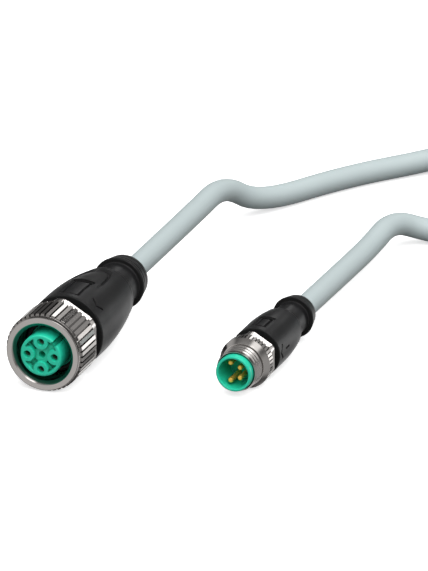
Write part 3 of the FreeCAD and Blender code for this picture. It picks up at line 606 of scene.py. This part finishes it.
def m12_grip_relief(radius, distance, angle):
    """The label panel, the thumb scoop with its groove, the chevron and the collar's lines."""
    outside = radius > 4.95
    across, upper = across_top(radius, angle)
    panel = framed_panel(across, distance, 2.3, 14.2, 22.3, 0.32)
    run = np.maximum(distance - SCOOP_FRONT, 0) / SCOOP_LENGTH
    tongue = 1 - ((np.abs(across) / SCOOP_HALF) ** 2.6 + run ** 2.6) ** (1 / 2.6)
    from_edge = SCOOP_HALF * tongue
    scoop_depth = np.interp(distance, [22.5, 24.0, 30.0], [0.0, 0.12, 0.34])
    groove_depth = np.interp(distance, [20.0, 24.0], [0.0, 0.34])
    scoop = step_up(from_edge, 0.0, 0.14) * scoop_depth
    groove = within(from_edge, 0.0, 0.5, 0.2) * groove_depth
    mark = chevron(angle, distance, radius, 45, 15.0, 1.9, 0.3)
    cut = np.maximum(np.maximum(panel, scoop + groove) * upper, 0.3 * mark)
    lines = 0.12 * (within(distance, 40.3, 40.65, 0.1) + within(distance, 41.9, 42.25, 0.1))
    return np.where(outside & (distance < 33.2), radius - cut, radius - lines), distance


def dense_angles(low, high, fine, coarse):
    """Angles all round, closer together between two of them."""
    return np.concatenate([
        np.arange(low, high, fine),
        np.arange(high, low + 360 - 0.5 * coarse, coarse),
    ])


def m12_grip():
    """The black overmould behind the nut: barrel, shoulder, waist and collar."""
    def longest(middle):
        if middle[0] < 4.95 and middle[1] < 31.5 or middle[0] < 2.5:
            return 4.0
        if middle[1] < 17.2:
            return 0.08
        if middle[1] < 24:
            return 0.13
        if middle[1] > 40 and middle[0] > 4.3:
            return 0.09
        return 0.17 if middle[1] < 34 else 0.5

    outline = even_stations(grip_outline("m12"), longest)
    angles = dense_angles(33, 132, 0.75, 3.0)
    grip = turned_piece("m12_moulded_grip", outline, angles, M12_FRONT, m12_grip_relief)
    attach(grip, "cordset")
    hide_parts("m12_grip")
    return grip


def m8_grip_relief(radius, distance, angle):
    """The label panel, and the chevron with a short stroke behind it."""
    outside = radius > 3.6
    across, upper = across_top(radius, angle)
    panel = framed_panel(across, distance, 1.6, 13.2, 18.4, 0.26)
    mark = chevron(angle, distance, radius, 3, 12.5, 1.9, 0.3)
    beside = np.radians(off_angle(angle, 4.5)) * radius
    stroke = (1 - step_up(np.abs(beside), 0.09, 0.1)) * within(distance, 14.9, 16.7, 0.1)
    cut = np.maximum(panel * upper, 0.25 * np.maximum(mark, stroke))
    return np.where(outside & (distance < 24), radius - cut, radius), distance


def m8_grip():
    """The black overmould behind the sleeve, slimmer than the M12 one."""
    def longest(middle):
        if middle[0] < 3.6 and middle[1] < 24.5 or middle[0] < 2.5:
            return 4.0
        return 0.09 if middle[1] < 18.6 else 0.4

    outline = even_stations(grip_outline("m8"), longest)
    angles = dense_angles(-20, 115, 1.0, 3.5)
    grip = turned_piece("m8_moulded_grip", outline, angles, M8_FRONT, m8_grip_relief)
    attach(grip, "cordset")
    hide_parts("m8_grip")
    return grip


def position_numbers():
    """The plain numbers of the four positions, standing a little proud of the green face."""
    spots = [("1", 135, 3.62), ("2", 62, 3.62), ("3", -45, 3.62), ("4", -135, 3.62)]
    numbers = []
    for text, angle, radius in spots:
        data = bpy.data.curves.new(f"m12_position_{text}", "FONT")
        data.body = text
        data.size = 0.75 * MM
        data.extrude = 0.06 * MM
        data.align_x = "CENTER"
        data.align_y = "CENTER"
        number = bpy.data.objects.new(f"m12_position_{text}", data)
        bpy.context.scene.collection.objects.link(number)
        turn = math.radians(angle)
        spot = Vector((radius * math.cos(turn), 0.05, radius * math.sin(turn)))
        number.location = M12_FRONT + spot * MM
        number.rotation_euler = (math.radians(90), 0, 0)
        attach(number, "cordset")
        numbers.append(number)
    return numbers


nut = m12_nut()
sleeve = m8_sleeve()
insert = m12_insert()
cup = m8_cup()
m12_grip_piece = m12_grip()
m8_grip_piece = m8_grip()
numbers = position_numbers()


# The finishes

def add_node(tree, kind, values=None, **settings):
    """A node with its settings, and its inputs set to numbers or linked to sockets."""
    made = tree.nodes.new(kind)
    for name, value in settings.items():
        setattr(made, name, value)
    for socket, value in (values or {}).items():
        if isinstance(value, bpy.types.NodeSocket):
            tree.links.new(value, made.inputs[socket])
        else:
            made.inputs[socket].default_value = value
    return made


def remapped(tree, value, low, high, to_low=0.0, to_high=1.0, **settings):
    """A value moved from one range to another and held at its ends."""
    return add_node(tree, "ShaderNodeMapRange", {
        "Value": value, "From Min": low, "From Max": high, "To Min": to_low, "To Max": to_high},
        **settings).outputs["Result"]


def product(tree, first, second):
    """Two values multiplied."""
    return add_node(tree, "ShaderNodeMath", {0: first, 1: second}, operation="MULTIPLY").outputs[0]


def mixed_colour(tree, factor, first, second):
    """A colour between two, each one given as numbers or as a socket."""
    mix = add_node(tree, "ShaderNodeMix", {"Factor": factor}, data_type="RGBA")
    for letter, colour in (("A", first), ("B", second)):
        if isinstance(colour, bpy.types.NodeSocket):
            tree.links.new(colour, mix.inputs[letter])
        else:
            mix.inputs[letter].default_value = (*colour, 1)
    return mix.outputs["Result"]


def new_effect(name, inputs, outputs):
    """An empty node group with named float inputs and outputs, and its two end nodes."""
    group = bpy.data.node_groups.new(name, "ShaderNodeTree")
    for title, value in inputs:
        kind = "NodeSocketVector" if value is None else "NodeSocketFloat"
        socket = group.interface.new_socket(title, in_out="INPUT", socket_type=kind)
        if value is not None:
            socket.default_value = value
    for title in outputs:
        group.interface.new_socket(title, in_out="OUTPUT", socket_type="NodeSocketFloat")
    return group, group.nodes.new("NodeGroupInput"), group.nodes.new("NodeGroupOutput")


def moulded_grain():
    """The fine spark-eroded skin of a moulded part, and slow patches in its gloss."""
    group, given, put = new_effect(
        "moulded_grain", [("Vector", None), ("Scale", 4000.0), ("Patches", 150.0)], ["Height", "Patch"])
    fine = add_node(group, "ShaderNodeTexNoise", {
        "Vector": given.outputs["Vector"], "Scale": given.outputs["Scale"], "Detail": 3.0,
        "Roughness": 0.55})
    cells = add_node(group, "ShaderNodeTexVoronoi", {
        "Vector": given.outputs["Vector"], "Scale": given.outputs["Scale"]}, feature="SMOOTH_F1")
    blend = add_node(group, "ShaderNodeMath", {0: fine.outputs["Fac"], 1: cells.outputs["Distance"]},
                     operation="ADD")
    slow = add_node(group, "ShaderNodeTexNoise", {
        "Vector": given.outputs["Vector"], "Scale": given.outputs["Patches"], "Detail": 2.0})
    group.links.new(blend.outputs[0], put.inputs["Height"])
    group.links.new(slow.outputs["Fac"], put.inputs["Patch"])
    return group


def handling_marks():
    """Faint hairlines and finger haze that change the gloss of plated metal."""
    group, given, put = new_effect(
        "handling_marks", [("Vector", None), ("Scale", 900.0), ("Haze", 120.0)],
        ["Hairlines", "Haze"])
    stretch = add_node(group, "ShaderNodeMapping", {
        "Vector": given.outputs["Vector"], "Scale": (1.0, 0.06, 1.0)})
    lines = add_node(group, "ShaderNodeTexNoise", {
        "Vector": stretch.outputs["Vector"], "Scale": given.outputs["Scale"], "Detail": 4.0,
        "Distortion": 0.6})
    haze = add_node(group, "ShaderNodeTexNoise", {
        "Vector": given.outputs["Vector"], "Scale": given.outputs["Haze"], "Detail": 3.0})
    group.links.new(remapped(group, lines.outputs["Fac"], 0.52, 0.62), put.inputs["Hairlines"])
    group.links.new(haze.outputs["Fac"], put.inputs["Haze"])
    return group


def open_surface():
    """A mask from ambient occlusion that is 1 on open surfaces and falls to 0 down in grooves and
    corners, where the finishes paint shade.
    """
    group, given, put = new_effect("open_surface", [("Reach", 0.0008)], ["Open"])
    closed = add_node(group, "ShaderNodeAmbientOcclusion", {"Distance": given.outputs["Reach"]},
                      samples=12)
    group.links.new(remapped(group, closed.outputs["AO"], 0.3, 0.85), put.inputs["Open"])
    return group


GRAIN = moulded_grain()
MARKS = handling_marks()
OPEN = open_surface()


def new_finish(name):
    """A material, its node tree and shader, and the object's own coordinates."""
    finish = bpy.data.materials.new(name)
    finish.use_nodes = True
    tree = finish.node_tree
    shader = tree.nodes["Principled BSDF"]
    spot = add_node(tree, "ShaderNodeTexCoord").outputs["Object"]
    return finish, tree, shader, spot


def join_shader(tree, shader, tone, roughness, bump):
    """Feeds a finish's tone, roughness and bump to its shader."""
    tree.links.new(tone, shader.inputs["Base Color"])
    tree.links.new(roughness, shader.inputs["Roughness"])
    tree.links.new(bump.outputs["Normal"], shader.inputs["Normal"])


# plated metal: how wide a groove with painted shade is at most, in metres, the shares of the tone
# that are left as painted shade in a groove and in a bore, and the roughness that hairlines add
# and that polished flats have
GROOVE_REACH = 0.0005
GROOVE_SHADE = 0.16
BORE_SHADE = 0.5
HAIRLINE_DULLNESS = 0.02
POLISHED = 0.08


def plated_metal(name, first, second, rough, rough_span, line_height, metallic=1.0,
                 polished_from=None, bore=None):
    """Plated and turned metal: lathe lines round the axis, hairlines and haze in the gloss.

    Lengths are in metres. The flats behind polished_from on the axis are smoother than the
    knurl. Grooves and corners get painted shade, and so does what lies inside the radius bore.
    """
    finish, tree, shader, spot = new_finish(name)
    marks = add_node(tree, "ShaderNodeGroup", {"Vector": spot}, node_tree=MARKS)
    lathe = add_node(tree, "ShaderNodeTexWave", {
        "Vector": spot, "Scale": 1600.0, "Distortion": 0.3, "Detail": 1.0},
        wave_type="BANDS", bands_direction="Y")
    bump = add_node(tree, "ShaderNodeBump", {
        "Height": lathe.outputs["Fac"], "Strength": 0.06, "Distance": line_height})
    gloss = remapped(tree, marks.outputs["Haze"], 0.3, 0.7, rough, rough + rough_span)
    roughness = add_node(tree, "ShaderNodeMath", {
        0: marks.outputs["Hairlines"], 1: HAIRLINE_DULLNESS, 2: gloss},
        operation="MULTIPLY_ADD").outputs[0]
    if polished_from is not None:
        along = add_node(tree, "ShaderNodeSeparateXYZ", {"Vector": spot}).outputs["Y"]
        roughness = remapped(tree, along, polished_from - 1e-5, polished_from, roughness, POLISHED)
    tone = mixed_colour(tree, marks.outputs["Haze"], first, second)
    open_part = add_node(tree, "ShaderNodeGroup", {"Reach": GROOVE_REACH},
                         node_tree=OPEN).outputs["Open"]
    if bore is not None:
        across = add_node(tree, "ShaderNodeVectorMath", {0: spot, 1: (1.0, 0.0, 1.0)},
                          operation="MULTIPLY")
        radius = add_node(tree, "ShaderNodeVectorMath", {0: across.outputs["Vector"]},
                          operation="LENGTH")
        shade = remapped(tree, radius.outputs["Value"], bore - 5e-5, bore, BORE_SHADE, 1.0)
        open_part = product(tree, open_part, shade)
    # painted shade: the tone is darkened in grooves and corners, and inside the bore
    painted_shade_tone = mixed_colour(tree, open_part, [GROOVE_SHADE * part for part in first], tone)
    shader.inputs["Metallic"].default_value = metallic
    join_shader(tree, shader, painted_shade_tone, roughness, bump)
    return finish


def moulded_plastic(name, first, second, rough, rough_span, grain_scale, grain_height,
                    crevice=None, reach=0.0008, dull_shaded_front=False):
    """Moulded plastic or rubber with its grain, and slow patches of gloss and tone.

    Where crevice is given, grooves up to reach wide are dull and get painted shade, with that share of
    the tone. With dull_shaded_front the faces square to the front get painted shade as well as little
    gloss.
    """
    finish, tree, shader, spot = new_finish(name)
    grain = add_node(tree, "ShaderNodeGroup", {"Vector": spot, "Scale": grain_scale},
                     node_tree=GRAIN)
    bump = add_node(tree, "ShaderNodeBump", {
        "Height": grain.outputs["Height"], "Strength": 0.5, "Distance": grain_height})
    roughness = remapped(tree, grain.outputs["Patch"], 0.3, 0.7, rough, rough + rough_span)
    tone = mixed_colour(tree, grain.outputs["Patch"], first, second)
    # painted shade: grooves and corners, and where asked the faces square to the front, get a darker
    # tone
    if crevice is not None:
        open_part = add_node(tree, "ShaderNodeGroup", {"Reach": reach},
                             node_tree=OPEN).outputs["Open"]
        # painted shade on the faces square to the front, besides their lower gloss
        if dull_shaded_front:
            normal = add_node(tree, "ShaderNodeTexCoord").outputs["Normal"]
            backwards = add_node(tree, "ShaderNodeSeparateXYZ", {"Vector": normal}).outputs["Y"]
            open_part = product(tree, open_part, remapped(tree, backwards, -0.9, -0.6, 0.1, 1.0))
        # painted shade: the tone falls to the crevice share where the surface is closed in
        tone = mixed_colour(tree, open_part, [crevice * part for part in first], tone)
        roughness = remapped(tree, open_part, 0.0, 1.0, 1.0, roughness)
    join_shader(tree, shader, tone, roughness, bump)
    return finish


# all plated metals get painted shade in grooves and corners, and the nut inside its bore too
NICKEL = plated_metal("nickel_plate", (0.57, 0.54, 0.52), (0.62, 0.59, 0.565), 0.12, 0.03, 1e-6,
                      polished_from=0.0090, bore=0.0060)
NICKEL_SMALL = plated_metal("nickel_plate_small", (0.61, 0.58, 0.56), (0.66, 0.63, 0.605), 0.15,
                            0.04, 2e-6, polished_from=0.0080)
GOLD = plated_metal("gold_plate", (1.0, 0.60, 0.09), (1.0, 0.65, 0.13), 0.2, 0.05, 1e-6,
                    metallic=0.6)
# the socket contacts: a dark green-grey plate in place of their gold, painted shade down in their holes
# with a painted green reflection of the insert
SHADED_SOCKET = plated_metal("socket_plate", (0.16, 0.34, 0.24), (0.2, 0.38, 0.27), 0.4, 0.1, 1e-6,
                      metallic=0.4)
# the green and the black get painted shade in their grooves, the black also on its faces square to the
# front
GREEN = moulded_plastic("green_insert", (0.016, 0.62, 0.40), (0.022, 0.68, 0.44), 0.28, 0.08,
                        5000.0, 4e-6, crevice=0.3)
BLACK = moulded_plastic("black_grip", (0.008, 0.008, 0.0085), (0.012, 0.012, 0.0125), 0.33, 0.07,
                        3500.0, 1e-5, crevice=0.05, reach=0.0022, dull_shaded_front=True)
JACKET = moulded_plastic("grey_jacket", (0.46, 0.53, 0.535), (0.49, 0.56, 0.565), 0.5, 0.1,
                         2500.0, 6e-6)
MOULD = moulded_plastic("inner_mould", (0.05, 0.05, 0.052), (0.065, 0.065, 0.067), 0.5, 0.1,
                        3000.0, 6e-6)
SEAL = moulded_plastic("seal_rubber", (0.02, 0.02, 0.02), (0.03, 0.03, 0.03), 0.55, 0.1,
                       4000.0, 4e-6)
WIRE_TONES = {
    "brown_wire": ((0.11, 0.045, 0.02), (0.14, 0.06, 0.03)),
    "white_wire": ((0.7, 0.7, 0.68), (0.78, 0.78, 0.76)),
    "blue_wire": ((0.02, 0.09, 0.36), (0.03, 0.12, 0.42)),
    "black_wire": ((0.015, 0.015, 0.015), (0.025, 0.025, 0.025)),
}
WIRES = {
    name: moulded_plastic(name, first, second, 0.4, 0.1, 4000.0, 2e-6)
    for name, (first, second) in WIRE_TONES.items()
}


def dress(piece, finish):
    piece.data.materials.clear()
    piece.data.materials.append(finish)


def dress_node(name, finish):
    """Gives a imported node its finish, and keeps its mesh as it is."""
    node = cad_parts[name]
    if not node.data.materials:
        node.data.materials.append(finish)
    for slot in node.material_slots:
        slot.material = finish


dress(nut, NICKEL)
dress(sleeve, NICKEL_SMALL)
for piece in (insert, cup, *numbers):
    dress(piece, GREEN)
for piece in (m12_grip_piece, m8_grip_piece):
    dress(piece, BLACK)
dress(grey_cable, JACKET)
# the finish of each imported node, by a part of its name
NODE_FINISHES = {
    "coupling_nut": NICKEL,
    "threaded_sleeve": NICKEL,
    "contact_carrier": GREEN,
    "socket_contact": SHADED_SOCKET,
    "pin_contact": GOLD,
    "sealing_ring": SEAL,
    "inner_mould": MOULD,
    "grip": BLACK,
    "cable": JACKET,
    **WIRES,
}
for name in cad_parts:
    for part, finish in NODE_FINISHES.items():
        if part in name:
            dress_node(name, finish)
            break


# The studio

def pale_floor():
    """A plain pale floor, a little lit of itself so that the shadows on it stay light."""
    mesh = bpy.data.meshes.new("studio_floor")
    half = 6.0
    mesh.from_pydata([(-half, -half, 0), (half, -half, 0), (half, half, 0), (-half, half, 0)], [],
                     [(0, 1, 2, 3)])
    floor = bpy.data.objects.new("studio_floor", mesh)
    bpy.context.scene.collection.objects.link(floor)
    floor.visible_glossy = False
    finish, tree, shader, spot = new_finish("studio_floor")
    seen_only = add_node(tree, "ShaderNodeLightPath").outputs["Is Camera Ray"]
    noise = add_node(tree, "ShaderNodeTexNoise", {"Vector": spot, "Scale": 3.0})
    seen = mixed_colour(tree, noise.outputs["Fac"], (0.93, 0.93, 0.93), (0.94, 0.94, 0.94))
    tone = mixed_colour(tree, seen_only, (0.2, 0.2, 0.2), seen)
    tree.links.new(tone, shader.inputs["Base Color"])
    shader.inputs["Emission Color"].default_value = (1, 1, 1, 1)
    tree.links.new(product(tree, seen_only, 0.6), shader.inputs["Emission Strength"])
    shader.inputs["Roughness"].default_value = 0.9
    shader.inputs["Specular IOR Level"].default_value = 0.0
    mesh.materials.append(finish)
    return floor


# A light is (azimuth from +Y towards +X, elevation, half width, soft edge, strength), its angles
# in degrees. A negative strength dims what lies there.
KEY_LIGHTS = [(142, 66, 20, 35, 2.7)]
KEY_REST = 0.23
# what the plated and glossy surfaces mirror, first one for each rib that the view shows
MIRRORED_LIGHTS = [
    (-18.0, 24.1, 2.5, 4.0, 0.2),
    (-10.4, 28.0, 2.5, 4.0, 2.0),
    (-1.6, 29.7, 2.5, 4.0, 0.55),
    (15.6, 25.7, 2.5, 4.0, 0.3),
    (22.1, 20.4, 2.5, 4.0, 0.32),
    (26.6, 13.8, 2.5, 4.0, 0.3),
    (29.1, 6.3, 2.5, 4.0, 0.65),
    (29.7, -1.0, 3.0, 4.0, 2.6),
    (28.4, -9.4, 2.5, 4.0, 1.5),
    (25.0, -16.7, 2.5, 4.0, 0.2),
    (19.7, -22.8, 2.5, 4.0, -0.45),
    (12.5, -27.2, 3.0, 4.0, -0.6),
    (4.0, -29.5, 2.5, 4.0, -0.35),
    (-5.0, -29.0, 3.0, 5.0, -0.2),
    (20, -34, 14, 18, 0.7),
    (-20, -22, 11, 13, 0.7),
    # the hexagons' flats
    (6.3, 22.6, 2.0, 2.0, 2.6),
    # the rims square to the front
    (-158, -22, 30, 25, 0.55),
    # the grips, the necks and the thread
    (-150, 45, 25, 30, 0.22),
    (155, 60, 10, 8, 1.8),
    (100, 63, 10, 12, 1.1),
    (127, 36, 10, 12, 0.6),
    (95, -15, 20, 30, 0.3),
    (-80, 12, 14, 20, 0.4),
]
MIRRORED_REST = 0.07


def soft_lights(tree, spot, lights, rest):
    """The sum of round soft lights and an even rest, by the direction looked in, never below 0."""
    total = rest
    for azimuth, elevation, half, edge, strength in lights:
        turn = math.radians(azimuth)
        rise = math.radians(elevation)
        towards = (math.sin(turn) * math.cos(rise), math.cos(turn) * math.cos(rise), math.sin(rise))
        facing = add_node(tree, "ShaderNodeVectorMath", {0: spot, 1: towards},
                          operation="DOT_PRODUCT")
        glow = remapped(tree, facing.outputs["Value"], math.cos(math.radians(half + edge)),
                        math.cos(math.radians(half)), 0.0, strength,
                        interpolation_type="SMOOTHSTEP")
        total = add_node(tree, "ShaderNodeMath", {0: glow, 1: total}, operation="ADD").outputs[0]
    return add_node(tree, "ShaderNodeMath", {0: total, 1: 0.0}, operation="MAXIMUM").outputs[0]


def studio_light():
    """A soft key light for the tones, narrow lights for what is mirrored, and a white backdrop."""
    world = bpy.data.worlds.new("studio")
    world.use_nodes = True
    tree = world.node_tree
    tree.nodes.clear()
    spot = add_node(tree, "ShaderNodeTexCoord").outputs["Generated"]
    path = add_node(tree, "ShaderNodeLightPath")
    tones = soft_lights(tree, spot, KEY_LIGHTS, KEY_REST)
    mirrored = soft_lights(tree, spot, MIRRORED_LIGHTS, MIRRORED_REST)
    lit, glossy, backdrop = [
        add_node(tree, "ShaderNodeBackground", {"Color": (1, 1, 1, 1), "Strength": strength})
        for strength in (tones, mirrored, 1.0)
    ]
    either = add_node(tree, "ShaderNodeMixShader", {
        0: path.outputs["Is Glossy Ray"], 1: lit.outputs[0], 2: glossy.outputs[0]})
    mix = add_node(tree, "ShaderNodeMixShader", {
        0: path.outputs["Is Camera Ray"], 1: either.outputs[0], 2: backdrop.outputs[0]})
    out = add_node(tree, "ShaderNodeOutputWorld")
    tree.links.new(mix.outputs[0], out.inputs["Surface"])
    bpy.context.scene.world = world


pale_floor()
studio_light()
bpy.context.scene.view_settings.view_transform = "Standard"
bpy.context.scene.view_settings.look = "None"
